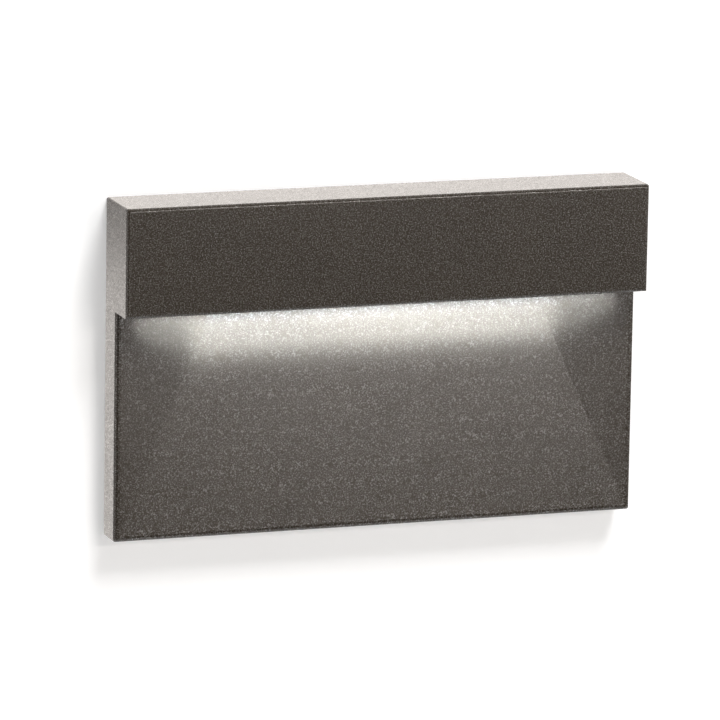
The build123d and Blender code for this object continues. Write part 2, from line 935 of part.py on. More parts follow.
def make_controller_chip():
    """Small chip with four legs on each side."""
    width, height = chip_size
    body = on_board(spot(chip_share) * Rectangle(width, height), chip_height)
    body = chamfer(rear_edges(body), 0.25)
    for side in (-1, 1):
        for i in range(4):
            leg = Pos((i - 1.5) * chip_leg_pitch, side * (height / 2 + 0.3)) * Rectangle(0.5, 1.4)
            body += on_board(spot(chip_share) * leg, 0.4)
    return body


def make_power_resistors():
    """Two axial resistors lying on the board, their ends bent down to it."""
    body = Cylinder(resistor_radius, resistor_length)
    drop = resistor_radius + 0.2
    half = wire_side / 2
    end = resistor_length / 2 + 1.0
    wire = rectangle(-half, half, -end - half, end + half)
    for side in (-1, 1):
        wire += rectangle(-drop, half, side * end - half, side * end + half)
    body += along(wire, -half, half)
    lying_x, lying_z = on_pcb(*lying_resistor_share)
    standing_x, standing_z = on_pcb(*standing_resistor_share)
    return [
        Pos(lying_x, pcb_back + drop, lying_z) * Rot(0, 90, 0) * body,
        Pos(standing_x, pcb_back + drop, standing_z) * body,
    ]


def terminal_block(x, z_low, z_high, pitch, height):
    """Two-way screw terminal block with a screw well for each way."""
    body = on_board(rectangle(x - pitch - 0.1, x + pitch + 0.1, z_low, z_high), height)
    back = pcb_back + height
    body = chamfer(rear_edges(body).filter_by(Axis.X), 0.5)
    for side in (-1, 1):
        well = Pos(x + side * pitch / 2, (z_low + z_high) / 2) * Rectangle(pitch * 0.7, pitch * 0.7)
        body -= across(well, back - terminal_well_depth, back)
    return body


def make_output_terminal():
    low = output_terminal_top - terminal_depth
    return terminal_block(
        output_terminal_x, low, output_terminal_top, terminal_pitch, terminal_height
    )


def make_input_terminal():
    x, z = on_pcb(*input_terminal_share)
    low = z - input_terminal_depth / 2
    return terminal_block(
        x, low, low + input_terminal_depth, input_terminal_pitch, input_terminal_height
    )


# ------------------------------------------------------------- mounting bracket
def make_mounting_bracket():
    """Pressed steel strap on the wall box: hooks at its sides, tabs at its foot."""
    half = bracket_half_width
    plate = rounded(-half, half, bracket_foot, bracket_top, bracket_corner)
    plate -= rectangle(
        -driver_box_width / 2 - bracket_clearance,
        driver_box_width / 2 + bracket_clearance,
        box_bottom - bracket_clearance,
        box_top + bracket_clearance,
    )
    plate -= Pos(*ground_screw_place) * Circle(ground_screw_radius + thread_fit)
    body = across(plate, -bracket_thickness, 0)
    hook = polygon(
        (half - hook_root, 0),
        (half, 0),
        (half + 1.6, -hook_step),
        (half + hook_reach, -hook_step),
        (half + hook_reach, -hook_step - bracket_thickness),
        (half + 1.0, -hook_step - bracket_thickness),
        (half - 0.6, -bracket_thickness),
        (half - hook_root, -bracket_thickness),
    )
    hook = upright(hook, hook_top - hook_height, hook_top)
    body += hook + mirror(hook, Plane.YZ)
    for side in (-1, 1):
        slot = Pos(side * box_screw_spacing / 2, 0) * SlotOverall(box_slot_length, box_slot_width)
        body -= across(slot, -bracket_thickness, 0)
    foot = polygon(
        (0, bracket_foot + bracket_corner),
        (0, bracket_foot),
        (-foot_depth, bracket_foot),
        (-foot_depth, bracket_foot + bracket_thickness),
        (-bracket_thickness, bracket_foot + bracket_thickness),
        (-bracket_thickness, bracket_foot + bracket_corner),
    )
    for side in (-1, 1):
        x = side * set_screw_spacing / 2
        body += along(foot, x - foot_width / 2, x + foot_width / 2)
    return body


def make_box_screws():
    """Captive screws into the wall box, necked where they pass the bracket."""
    screw = pan_screw(box_screw_radius, box_screw_length)
    neck = Circle(box_screw_radius + 1) - Circle(box_screw_neck_radius)
    screw -= upright(neck, box_screw_thread_lead - bracket_thickness, 0)
    return [
        Pos(side * box_screw_spacing / 2, -bracket_thickness, 0) * facing_in * screw
        for side in (-1, 1)
    ]


def make_ground_screw():
    """Slotted hexagon-head earthing screw."""
    height = ground_screw_head_height
    screw = upright(Circle(ground_screw_radius), -ground_screw_length, 0)
    screw += upright(RegularPolygon(ground_screw_head_radius, 6), 0, height)
    screw -= upright(
        Rectangle(3 * ground_screw_head_radius, ground_screw_slot_width), height / 2, height
    )
    x, z = ground_screw_place
    return Pos(x, -bracket_thickness, z) * facing_in * screw


def make_set_screws():
    """Socket set screws that press up on the bracket's foot."""
    body = Cylinder(
        set_screw_radius, set_screw_length, align=(Align.CENTER, Align.CENTER, Align.MAX)
    )
    socket = upright(
        RegularPolygon(set_screw_socket_radius, 6),
        -set_screw_length - 1,
        -set_screw_length + set_screw_socket_depth,
    )
    screw = body - socket
    return [
        Pos(side * set_screw_spacing / 2, -set_screw_depth, bracket_foot) * screw
        for side in (-1, 1)
    ]


# ---------------------------------------------------------------------- the set
nodes = {
    "face_casting": make_face_casting(),
    "wall_gasket": wall_gasket_strip(),
    "lens_seal": make_lens_seal(),
    "window_lens": make_window_lens(),
    "led_carrier": make_led_carrier(),
    "carrier_screws": make_carrier_screws(),
    "led_board": make_led_board(),
    "thermal_pad": make_thermal_pad(),
    "led_packages": make_led_packages(),
    "led_phosphors": make_led_phosphors(),
    "led_connector": make_led_connector(),
    "led_lead_positive": make_led_lead_positive(),
    "led_lead_negative": make_led_lead_negative(),
    "housing_gasket": make_housing_gasket(),
    "rear_housing": make_rear_housing(),
    "housing_screws": make_housing_screws(),
    "driver_board": make_driver_board(),
    "fuse": make_fuse(),
    "varistor": make_varistor(),
    "film_capacitor": make_film_capacitor(),
    "bulk_capacitor": make_bulk_capacitor(),
    "filter_choke": make_filter_choke(),
    "transformer_core": make_transformer_core(),
    "transformer_bobbin": make_transformer_bobbin(),
    "transformer_winding": make_transformer_winding(),
    "bridge_rectifier": make_bridge_rectifier(),
    "controller_chip": make_controller_chip(),
    "power_resistors": make_power_resistors(),
    "output_terminal": make_output_terminal(),
    "input_terminal": make_input_terminal(),
    "lid_gasket": make_lid_gasket(),
    "driver_lid": make_driver_lid(),
    "lid_screws": make_lid_screws(),
    "supply_grommet": make_supply_grommet(),
    "mounting_bracket": make_mounting_bracket(),
    "box_screws": make_box_screws(),
    "ground_screw": make_ground_screw(),
    "set_screws": make_set_screws(),
}

os.makedirs("parts", exist_ok=True)
for name, shape in nodes.items():
    if isinstance(shape, list):
        shape = Compound(children=shape)
    export_step(shape, f"parts/{name}.step")
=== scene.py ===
import json
import math

import bpy
from bpy.props import (
    FloatProperty,
    FloatVectorProperty,
    IntProperty,
    PointerProperty,
)
from mathutils import Matrix, Vector


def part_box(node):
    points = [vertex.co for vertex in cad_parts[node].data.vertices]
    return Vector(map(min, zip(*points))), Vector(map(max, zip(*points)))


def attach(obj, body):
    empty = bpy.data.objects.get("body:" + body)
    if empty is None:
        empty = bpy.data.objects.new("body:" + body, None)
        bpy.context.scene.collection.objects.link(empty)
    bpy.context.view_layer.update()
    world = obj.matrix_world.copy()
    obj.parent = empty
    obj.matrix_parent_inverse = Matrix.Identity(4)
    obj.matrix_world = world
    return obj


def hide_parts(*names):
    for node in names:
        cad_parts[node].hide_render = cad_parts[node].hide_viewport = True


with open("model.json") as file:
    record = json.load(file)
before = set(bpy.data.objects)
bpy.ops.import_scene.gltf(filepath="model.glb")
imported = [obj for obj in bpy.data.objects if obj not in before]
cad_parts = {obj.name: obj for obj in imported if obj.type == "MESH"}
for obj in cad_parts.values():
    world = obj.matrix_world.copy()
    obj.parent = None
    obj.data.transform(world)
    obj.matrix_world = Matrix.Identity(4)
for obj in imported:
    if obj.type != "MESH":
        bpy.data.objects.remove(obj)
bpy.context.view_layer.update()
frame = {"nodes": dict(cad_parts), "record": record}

bl_info = {
    "name": "Step light",
    "version": (1, 0, 0),
    "blender": (4, 5, 0),
    "location": "View3D > Sidebar > Step light",
    "description": "Finishes, screws and stage of a hooded step light with a scooped face",
    "category": "Object",
}

MM = 0.001


# ------------------------------------------------------------------ shader maths
class Value:
    """A shader output that Python's operators work on."""

    def __init__(self, tree, socket):
        self.tree = tree
        self.socket = socket

    def maths(self, operation, *others):
        return self.tree.node("ShaderNodeMath", {"operation": operation}, self, *others)

    def __add__(self, other):
        return self.maths("ADD", other)

    def __radd__(self, other):
        return self.maths("ADD", other)

    def __sub__(self, other):
        return self.maths("SUBTRACT", other)

    def __mul__(self, other):
        return self.maths("MULTIPLY", other)

    def clamp(self):
        return self.tree.node("ShaderNodeClamp", {}, self)

    def step(self, low, high):
        """0 below low, 1 above high and smooth between them."""
        return self.tree.node(
            "ShaderNodeMapRange", {"interpolation_type": "SMOOTHSTEP"}, self, low, high
        )


class Tree:
    """A node tree to which nodes are added one after another."""

    def __init__(self, owner):
        owner.use_nodes = True
        self.nodes = owner.node_tree.nodes
        self.links = owner.node_tree.links
        self.nodes.clear()

    def node(self, kind, settings, *inputs, output=0, **named):
        """Adds a node, makes its settings, then fills its sockets by order or by name."""
        node = self.nodes.new(kind)
        for key, value in settings.items():
            setattr(node, key, value)
        open_sockets = [s for s in node.inputs if s.enabled]
        filled = list(zip(open_sockets, inputs))
        filled += [(node.inputs[name.replace("_", " ")], value) for name, value in named.items()]
        for socket, value in filled:
            if isinstance(value, Value):
                self.links.new(value.socket, socket)
            elif socket.type == "RGBA":
                socket.default_value = (*value, 1)
            else:
                socket.default_value = value
        return Value(self, node.outputs[output])

    def surface(self, shader, output="ShaderNodeOutputMaterial"):
        self.links.new(shader.socket, self.nodes.new(output).inputs["Surface"])


class Finish(Tree):
    """A material with one Principled shader, and the patterns that finishes share."""

    def __init__(self, name):
        self.material = bpy.data.materials.new(name)
        super().__init__(self.material)
        self.place = self.node("ShaderNodeTexCoord", {}, output="Object")

    def stretched(self, x, y, z):
        """Object coordinates drawn out along the axes with small numbers."""
        return self.node("ShaderNodeMapping", {}, self.place, Scale=(x, y, z))

    def noise(self, size, detail=2.0, roughness=0.5, place=None):
        """Soft noise from 0 to 1, of a grain size in metres."""
        return self.node(
            "ShaderNodeTexNoise",
            {},
            Vector=place or self.place,
            Scale=1 / size,
            Detail=detail,
            Roughness=roughness,
        )

    def blend(self, share, low, high):
        """Colour between two colours."""
        return self.node("ShaderNodeMixRGB", {}, share, low, high)

    def relief(self, height, depth, edge=0.0):
        """Bumped normal of a height from 0 to 1 and a depth in metres, on rounded edges."""
        named = {"Height": height, "Distance": depth, "Strength": 1.0}
        if edge:
            named["Normal"] = self.node(
                "ShaderNodeBevel", {"samples": 4}, Radius=edge, output="Normal"
            )
        return self.node("ShaderNodeBump", {}, **named)

    def done(self, **sockets):
        self.surface(self.node("ShaderNodeBsdfPrincipled", {}, **sockets))
        return self.material


def scaled(colour, factor):
    return tuple(channel * factor for channel in colour)


# ---------------------------------------------------------------------- finishes
def bronze_coat():
    """Bronze powder coat of fine bumps, some duller and some shinier, with glossy flakes; each
    bump's top is painted lighter and its hollow painted darker, a painted highlight and shade on
    the grain.
    """
    coat = bpy.context.scene.step_light.coat
    f = Finish("bronze_coat")
    grain = f.noise(coat.grain, detail=1.0)
    cloud = f.noise(coat.cloud)
    flake = f.noise(coat.flake, detail=0.0).step(coat.flake_start, coat.flake_full)
    # Colour share: random paler or darker patches from the cloud, plus a painted highlight on each
    # bump's top and painted shade in its hollow from the grain
    shade = (cloud - 0.5) * coat.clouding + (grain - 0.5) * coat.mottle + 0.5
    dark = scaled(coat.colour, 1 - coat.contrast)
    light = scaled(coat.colour, 1 + coat.contrast)
    bronze = f.blend(shade.clamp(), dark, light)
    return f.done(
        Base_Color=f.blend(flake * coat.sparkle, bronze, coat.flake_colour),
        Roughness=(grain.step(0.35, 0.65) - 0.5) * coat.gloss_change + coat.roughness,
        Specular_IOR_Level=coat.gloss,
        Coat_Weight=flake * coat.flake_gloss,
        Coat_Roughness=coat.flake_roughness,
        Coat_IOR=coat.flake_index,
        Normal=f.relief(grain, coat.relief, edge=coat.edge),
    )


def moulding(name, colour, grain=0.25 * MM, roughness=0.55, depth=0.012 * MM):
    """Moulded plastic with a fine spark-eroded grain and faint flow marks."""
    f = Finish(name)
    spark = f.noise(grain, detail=2.0)
    flow = f.noise(14 * MM, detail=3.0, place=f.stretched(0.25, 1, 1))
    return f.done(
        Base_Color=f.blend(flow.step(0.35, 0.65), scaled(colour, 0.88), scaled(colour, 1.1)),
        Roughness=roughness + (spark - 0.5) * 0.16 + (flow - 0.5) * 0.1,
        Normal=f.relief(spark, depth, edge=0.2 * MM),
    )


def rubbery(name, colour, grain=0.4 * MM, depth=0.03 * MM, roughness=0.75):
    """Rubber or foam: open grain, dull, with a dusty bloom."""
    f = Finish(name)
    pores = f.noise(grain, detail=4.0, roughness=0.65)
    bloom = f.noise(6 * MM, detail=3.0)
    return f.done(
        Base_Color=f.blend(bloom.step(0.45, 0.7) * 0.5, colour, scaled(colour, 1.6)),
        Roughness=roughness + (pores - 0.5) * 0.2,
        Normal=f.relief(pores, depth, edge=0.2 * MM),
    )


def metal(name, colour, roughness, stretch=(1, 1, 1), grain=0.3 * MM, depth=0.004 * MM):
    """Bare or plated metal with drawn lines along the axes with small stretch."""
    f = Finish(name)
    lines = f.noise(grain, detail=4.0, roughness=0.7, place=f.stretched(*stretch))
    stain = f.noise(9 * MM, detail=4.0)
    return f.done(
        Base_Color=f.blend(stain.step(0.3, 0.75), scaled(colour, 0.82), scaled(colour, 1.05)),
        Metallic=1.0,
        Roughness=roughness + (lines - 0.5) * 0.22 + (stain - 0.5) * 0.12,
        Normal=f.relief(lines, depth, edge=0.12 * MM),
    )


def lacquered(name, colour, roughness=0.3, grain=1.2 * MM, depth=0.01 * MM):
    """Smooth lacquer, insulation or mask, slightly uneven and thinner in places."""
    f = Finish(name)
    sag = f.noise(grain, detail=3.0)
    return f.done(
        Base_Color=f.blend(sag.step(0.3, 0.7), scaled(colour, 0.85), scaled(colour, 1.12)),
        Roughness=roughness + (sag - 0.5) * 0.2,
        Normal=f.relief(sag, depth, edge=0.15 * MM),
    )


def frosted_lens():
    """Frosted diffuser lit from behind by the row of LEDs."""
    lamp = bpy.context.scene.step_light.lamp
    f = Finish("frosted_lens")
    frost = f.noise(0.2 * MM, detail=3.0)
    return f.done(
        Base_Color=f.blend(frost, (0.84, 0.83, 0.8), (0.93, 0.92, 0.9)),
        Roughness=0.5 + frost * 0.2,
        Emission_Color=f.blend(frost, scaled(lamp.colour, 0.94), lamp.colour),
        Emission_Strength=lamp.lens_glow,
        Normal=f.relief(frost, 0.01 * MM),
    )


def led_phosphor():
    """Yellow phosphor resin over a lit LED chip."""
    lamp = bpy.context.scene.step_light.lamp
    f = Finish("led_phosphor")
    powder = f.noise(0.1 * MM, detail=3.0)
    return f.done(
        Base_Color=f.blend(powder, (0.85, 0.62, 0.2), (0.95, 0.76, 0.32)),
        Roughness=0.35 + powder * 0.2,
        Emission_Color=f.blend(powder, scaled(lamp.colour, 0.9), lamp.colour),
        Emission_Strength=lamp.led_glow,
        Normal=f.relief(powder, 0.01 * MM),
    )


# Finish of each material slot: its colour, roughness and grain where they aren't the usual
FINISHES = {
    "bronze_coat": bronze_coat,
    "black_foam": lambda: rubbery("black_foam", (0.025, 0.025, 0.026)),
    "clear_silicone": lambda: rubbery(
        "clear_silicone", (0.72, 0.72, 0.69), depth=0.008 * MM, roughness=0.45
    ),
    "frosted_lens": frosted_lens,
    "bare_aluminium": lambda: metal(
        "bare_aluminium", (0.72, 0.73, 0.74), 0.36, stretch=(0.02, 1, 1)
    ),
    "zinc_screw": lambda: metal("zinc_screw", (0.62, 0.63, 0.65), 0.28, grain=0.5 * MM),
    "white_board": lambda: lacquered("white_board", (0.85, 0.85, 0.82)),
    "grey_pad": lambda: rubbery("grey_pad", (0.45, 0.46, 0.48)),
    "led_white": lambda: moulding("led_white", (0.88, 0.87, 0.84), grain=0.1 * MM, roughness=0.4),
    "led_phosphor": led_phosphor,
    "cream_nylon": lambda: moulding("cream_nylon", (0.8, 0.77, 0.68)),
    "red_insulation": lambda: lacquered("red_insulation", (0.55, 0.03, 0.03), roughness=0.4),
    "black_insulation": lambda: lacquered("black_insulation", (0.02, 0.02, 0.02), roughness=0.4),
    "black_moulding": lambda: moulding("black_moulding", (0.03, 0.03, 0.032), grain=0.35 * MM),
    "green_board": lambda: lacquered("green_board", (0.03, 0.2, 0.08)),
    "black_component": lambda: moulding("black_component", (0.03, 0.03, 0.03), grain=0.15 * MM),
    "blue_component": lambda: lacquered("blue_component", (0.05, 0.12, 0.5)),
    "yellow_component": lambda: moulding("yellow_component", (0.75, 0.6, 0.1), grain=0.3 * MM),
    "ferrite": lambda: rubbery("ferrite", (0.06, 0.06, 0.065), grain=0.2 * MM, roughness=0.6),
    "yellow_tape": lambda: lacquered("yellow_tape", (0.8, 0.66, 0.12)),
    "resistor_body": lambda: lacquered("resistor_body", (0.35, 0.5, 0.62)),
    "green_terminal": lambda: moulding("green_terminal", (0.08, 0.35, 0.12)),
    "black_rubber": lambda: rubbery(
        "black_rubber", (0.02, 0.02, 0.02), depth=0.01 * MM, roughness=0.6
    ),
    "zinc_plate": lambda: metal("zinc_plate", (0.6, 0.61, 0.62), 0.34, stretch=(0.04, 1, 1)),
    "green_screw": lambda: metal("green_screw", (0.05, 0.32, 0.1), 0.35, grain=0.5 * MM),
    "black_screw": lambda: metal("black_screw", (0.05, 0.05, 0.052), 0.42, grain=0.5 * MM),
}
slot_of = {part["node"]: part["material_slot"] for part in frame["record"]["subparts"]}
finishes_made = {}


def finish(slot):
    """The material of a slot, made when it is first asked for."""
    if slot not in finishes_made:
        bpy.data.materials[slot].name = slot + "_plain"
        finishes_made[slot] = FINISHES[slot]()
    return finishes_made[slot]


def dress(*names):
    """Gives CAD nodes the finish of their slots."""
    for name in names:
        frame["nodes"][name].material_slots[0].material = finish(slot_of[name])


# --------------------------------------------------------------- modelling tools
def deselect():
    if bpy.context.object and bpy.context.object.mode == "EDIT":
        bpy.ops.object.mode_set(mode="OBJECT")
    bpy.ops.object.select_all(action="DESELECT")


def select(*pieces):
    """Selects pieces alone, with the first one active."""
    deselect()
    for piece in pieces:
        piece.select_set(True)
    bpy.context.view_layer.objects.active = pieces[0]


def settle(piece):
    """Puts a piece's place, turn and scale into its mesh."""
    bpy.ops.object.transform_apply(location=True, rotation=True, scale=True)
    return piece


def turned(name, sides, rings):
    """Round piece on Z, drawn out of a disc ring by ring, each a radius and a height."""
    deselect()
    radius, height = rings[0]
    bpy.ops.mesh.primitive_circle_add(
        vertices=sides, radius=radius, fill_type="NGON", location=(0, 0, height)
    )
    piece = settle(bpy.context.object)
    piece.name = name
    bpy.ops.object.mode_set(mode="EDIT")
    for (before, low), (after, high) in zip(rings, rings[1:]):
        bpy.ops.mesh.extrude_region_move(TRANSFORM_OT_translate={"value": (0, 0, high - low)})
        bpy.ops.transform.resize(
            value=(after / before, after / before, 1), center_override=(0, 0, high)
        )
    bpy.ops.mesh.select_all(action="SELECT")
    bpy.ops.mesh.normals_make_consistent(inside=False)
    bpy.ops.object.mode_set(mode="OBJECT")
    return piece


def cut_away(piece, cutter):
    """Takes the cutter's space out of a piece."""
    modifier = piece.modifiers.new("cut", "BOOLEAN")
    modifier.object = cutter
    modifier.solver = "EXACT"
    select(piece)
    bpy.ops.object.modifier_apply(modifier="cut")
    bpy.data.objects.remove(cutter)


THREAD_STEPS = 20               # sides of one turn of a thread
THREAD_DEPTH = 0.55             # thread's depth to its pitch
SET_SCREW_THREAD_DEPTH = 0.5    # the same for a set screw


def thread_ridge(radius, depth, pitch, low, high):
    """Helical ridge round the Z axis, sunk a little into the shank."""
    deselect()
    bpy.ops.mesh.primitive_circle_add(
        vertices=3,
        radius=depth,
        location=(radius - depth, 0, low),
        rotation=(math.radians(90), math.radians(90), 0),
    )
    ridge = settle(bpy.context.object)
    turn = ridge.modifiers.new("turn", "SCREW")
    turn.axis = "Z"
    turn.screw_offset = pitch
    turn.iterations = int((high - low) / pitch)
    turn.steps = THREAD_STEPS
    turn.render_steps = THREAD_STEPS
    bpy.ops.object.modifier_apply(modifier="turn")
    bpy.ops.object.mode_set(mode="EDIT")
    bpy.ops.mesh.select_all(action="SELECT")
    bpy.ops.mesh.fill_holes(sides=4)
    bpy.ops.mesh.normals_make_consistent(inside=False)
    bpy.ops.object.mode_set(mode="OBJECT")
    return ridge


def joined(*pieces):
    """One piece out of several, under the first one's name."""
    select(*pieces)
    if len(pieces) > 1:
        bpy.ops.object.join()
    return pieces[0]


def crowned_head(radius, height):
    """Rings of a pan head, from its seat up to its crown."""
    steps = 7
    crown = height * 0.6
    crown_run = crown * 1.2
    rings = [(radius * 0.97, 0.0), (radius, height * 0.08)]
    for step in range(1, steps + 1):
        angle = math.radians(90) * step / steps
        out = radius - crown_run * (1 - math.cos(angle))
        rings.append((out, height - crown + crown * math.sin(angle)))
    return rings


def cross_recess(head_radius, head_height):
    """Cutter for a cross recess, tapered towards its bottom."""
    arm_size = (head_radius * 1.05, head_radius * 0.24, head_height * 1.1)
    taper = (0.45, 0.6, 1)
    arms = []
    for across in (0, math.radians(90)):
        deselect()
        bpy.ops.mesh.primitive_cube_add(
            size=1,
            location=(0, 0, head_height),
            rotation=(0, 0, across),
            scale=arm_size,
        )
        arm = settle(bpy.context.object)
        bpy.ops.object.mode_set(mode="EDIT")
        bpy.ops.mesh.select_all(action="DESELECT")
        bpy.ops.object.mode_set(mode="OBJECT")
        for face in arm.data.polygons:
            face.select = face.normal.z < -0.9
        bpy.ops.object.mode_set(mode="EDIT")
        bpy.ops.transform.resize(value=taper, center_override=(0, 0, 0))
        bpy.ops.object.mode_set(mode="OBJECT")
        arms.append(arm)
    return joined(*arms)


def smooth(piece, angle=35):
    """Smooth shading, except over edges sharper than the angle in degrees."""
    select(piece)
    bpy.ops.object.shade_smooth_by_angle(angle=math.radians(angle))


def pan_head_screw(name, radius, length):
    """Cross-head screw on Z: its head stands above zero and its thread hangs below."""
    screws = bpy.context.scene.step_light.screws
    head = radius * screws.head_ratio
    height = radius * screws.head_height_ratio
    pitch = radius * screws.pitch_ratio
    depth = pitch * THREAD_DEPTH
    core = radius - depth
    tip = core * 0.45
    rings = [(tip, -length), (core, -length + depth), (core, 0.0)]
    body = turned(name, screws.sides, rings + crowned_head(head, height))
    cut_away(body, cross_recess(head, height))
    ridge = thread_ridge(radius, depth, pitch, -length + pitch, 0.0)
    return joined(body, ridge)


def placed(pattern, name, places, turn):
    """Copies a pattern to each place, each copy with its own mesh, joined in one piece."""
    copies = []
    for place in places:
        copy = pattern.copy()
        copy.data = pattern.data.copy()
        bpy.context.collection.objects.link(copy)
        copy.matrix_world = Matrix.Translation(place) @ Matrix.Rotation(turn, 4, "X")
        copies.append(copy)
    bpy.data.objects.remove(pattern)
    select(*copies)
    bpy.ops.object.transform_apply(location=True, rotation=True, scale=True)
    piece = joined(*copies)
    piece.name = name
    return piece


def hand_in(piece, node):
    """Lets a finished piece stand for a CAD node, both in that node's finish."""
    smooth(piece)
    dress(node)
    piece.data.materials.clear()
    piece.data.materials.append(finish(slot_of[node]))
    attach(piece, "root")
    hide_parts(node)


OUTWARDS = math.radians(-90)    # turns a screw's head towards +Y
INWARDS = math.radians(90)      # turns a screw's head towards -Y


# ---------------------------------------------------------------------- settings
class CoatSettings(bpy.types.PropertyGroup):
    colour: FloatVectorProperty(
        name="Colour", description="Bronze of the powder coat", subtype="COLOR",
        default=(0.031, 0.0244, 0.0177), min=0, max=1,
    )
    flake_colour: FloatVectorProperty(
        name="Flake colour", description="Paler flakes in the coat", subtype="COLOR",
        default=(0.22, 0.2, 0.17), min=0, max=1,
    )
    # Range of colour either side of the bronze: it carries the random patches and the painted
    # highlight and shade on the bumps
    contrast: FloatProperty(
        name="Contrast", description="Change of colour from hollow to bump", default=0.3,
    )
    cloud: FloatProperty(
        name="Cloud", description="Size of a paler or darker patch", unit="LENGTH", default=18 * MM,
    )
    clouding: FloatProperty(name="Clouding", description="How much the patches show", default=0.5)
    grain: FloatProperty(
        name="Grain", description="Width of the coat's bumps", unit="LENGTH", default=0.36 * MM,
    )
    # Painted highlight and shade: how much lighter each bump's top and darker its hollow is painted
    # in the coat's colour
    mottle: FloatProperty(
        name="Mottle", description="How much lighter a bump's top is", default=1.0,
    )
    relief: FloatProperty(
        name="Relief", description="Height of the coat's bumps", unit="LENGTH", default=0.03 * MM,
    )
    edge: FloatProperty(
        name="Edge", description="Rounding that the coat gives an edge",
        unit="LENGTH", default=0.1 * MM,
    )
    flake: FloatProperty(
        name="Flake", description="Size of a flake", unit="LENGTH", default=0.3 * MM,
    )
    sparkle: FloatProperty(name="Sparkle", description="How much the flakes show", default=0.03)
    roughness: FloatProperty(name="Roughness", description="Dullness of the coat", default=0.21)
    gloss_change: FloatProperty(
        name="Gloss change", description="Change of dullness from grain to grain", default=0.22,
    )
    gloss: FloatProperty(name="Gloss", description="Strength of reflections", default=0.5)
    flake_start: FloatProperty(
        name="Flake's start", description="Noise at a flake's edge", default=0.5,
    )
    flake_full: FloatProperty(
        name="Flake's middle", description="Noise where a flake is whole", default=0.82,
    )
    flake_gloss: FloatProperty(
        name="Flake gloss", description="How much the flakes reflect", default=1.0,
    )
    flake_roughness: FloatProperty(
        name="Flake roughness", description="Dullness of the flakes", default=0.28,
    )
    flake_index: FloatProperty(
        name="Flake index", description="Refractive index of the flakes", default=2.2,
    )


class LampSettings(bpy.types.PropertyGroup):
    colour: FloatVectorProperty(
        name="Light", description="Colour of the LEDs' light", subtype="COLOR",
        default=(0.67, 0.815, 1.0), min=0, max=1,
    )
    lens_glow: FloatProperty(name="Lens glow", description="Strength of the lit lens", default=20.0)
    led_glow: FloatProperty(name="LED glow", description="Strength of the lit chips", default=6.0)
    even_length: FloatProperty(
        name="Even strip", description="Even strip's length to the lens's", default=0.86,
    )
    fading_length: FloatProperty(
        name="Fading strip", description="Fading strip's length to the lens's", default=1.14,
    )
    strip_width: FloatProperty(
        name="Strip's width", description="Width of both strips", unit="LENGTH", default=1.6 * MM,
    )
    strip_drop: FloatProperty(
        name="Strip's drop", description="Strips below the lens", unit="LENGTH", default=1.0 * MM,
    )
    throw: FloatProperty(
        name="Throw", description="Light thrown down the scoop, in watts", default=0.028,
    )
    throw_tilt: FloatProperty(
        name="Throw's tilt", description="From straight down towards the scoop",
        subtype="ANGLE", default=math.radians(27),
    )
    throw_spread: FloatProperty(
        name="Throw's spread", description="Full angle", subtype="ANGLE", default=math.radians(30),
    )
    wash: FloatProperty(
        name="Wash", description="Light at the top of the scoop, in watts", default=0.057,
    )
    wash_tilt: FloatProperty(
        name="Wash's tilt", description="From straight down towards the scoop",
        subtype="ANGLE", default=math.radians(48),
    )
    wash_spread: FloatProperty(
        name="Wash's spread", description="Full angle", subtype="ANGLE", default=math.radians(64),
    )


class GrommetSettings(bpy.types.PropertyGroup):
    sides: IntProperty(name="Sides", description="Sides of the grommet", default=48)
    bore_sides: IntProperty(name="Bore's sides", description="Sides of its bore", default=40)
    bore: FloatProperty(name="Bore", description="Bore's radius to the flange's", default=0.5)
    neck: FloatProperty(name="Neck", description="Neck's radius to the flange's", default=0.75)
    rounding: FloatProperty(
        name="Rounding", description="Rounding of the edges", unit="LENGTH", default=0.3 * MM,
    )
    shoulder: FloatProperty(
        name="Shoulder", description="Outer collar's radius where it turns in", default=0.9,
    )
    shoulder_height: FloatProperty(
        name="Shoulder's height", description="Share of the outer collar below it", default=0.6,
    )
    rim: FloatProperty(name="Rim", description="Outer rim's radius to the flange's", default=0.8)


class ScrewSettings(bpy.types.PropertyGroup):
    sides: IntProperty(name="Sides", description="Sides of a round screw", default=32)
    head_ratio: FloatProperty(
        name="Head", description="Head's radius to the thread's radius", default=1.8,
    )
    head_height_ratio: FloatProperty(
        name="Head height", description="Head's height to the thread's radius", default=0.85,
    )
    pitch_ratio: FloatProperty(
        name="Pitch", description="Thread's pitch to the thread's radius", default=0.34,
    )
    top_screw_x: FloatProperty(
        name="Top screws", description="Housing's top screws from the middle",
        unit="LENGTH", default=18 * MM,
    )
    inner_radius: FloatProperty(
        name="Inner screws", description="Radius of the carrier's and the housing's screws",
        unit="LENGTH", default=1.5 * MM,
    )
    lid_radius: FloatProperty(
        name="Lid screws", description="Radius of the lid's screws",
        unit="LENGTH", default=1.3 * MM,
    )
    box_radius: FloatProperty(
        name="Box screws", description="Radius of the screws into the wall box",
        unit="LENGTH", default=1.75 * MM,
    )
    earth_radius: FloatProperty(
        name="Earth screw", description="Radius of the earth screw", unit="LENGTH",
        default=2.1 * MM,
    )
    bracket_sheet: FloatProperty(
        name="Bracket's sheet", description="Sheet under the earth screw's head",
        unit="LENGTH", default=1.2 * MM,
    )
    socket_radius: FloatProperty(
        name="Socket", description="Radius over the corners of a set screw's socket",
        unit="LENGTH", default=1.15 * MM,
    )
    socket_depth: FloatProperty(
        name="Socket's depth", description="Depth of a set screw's socket",
        unit="LENGTH", default=2.4 * MM,
    )


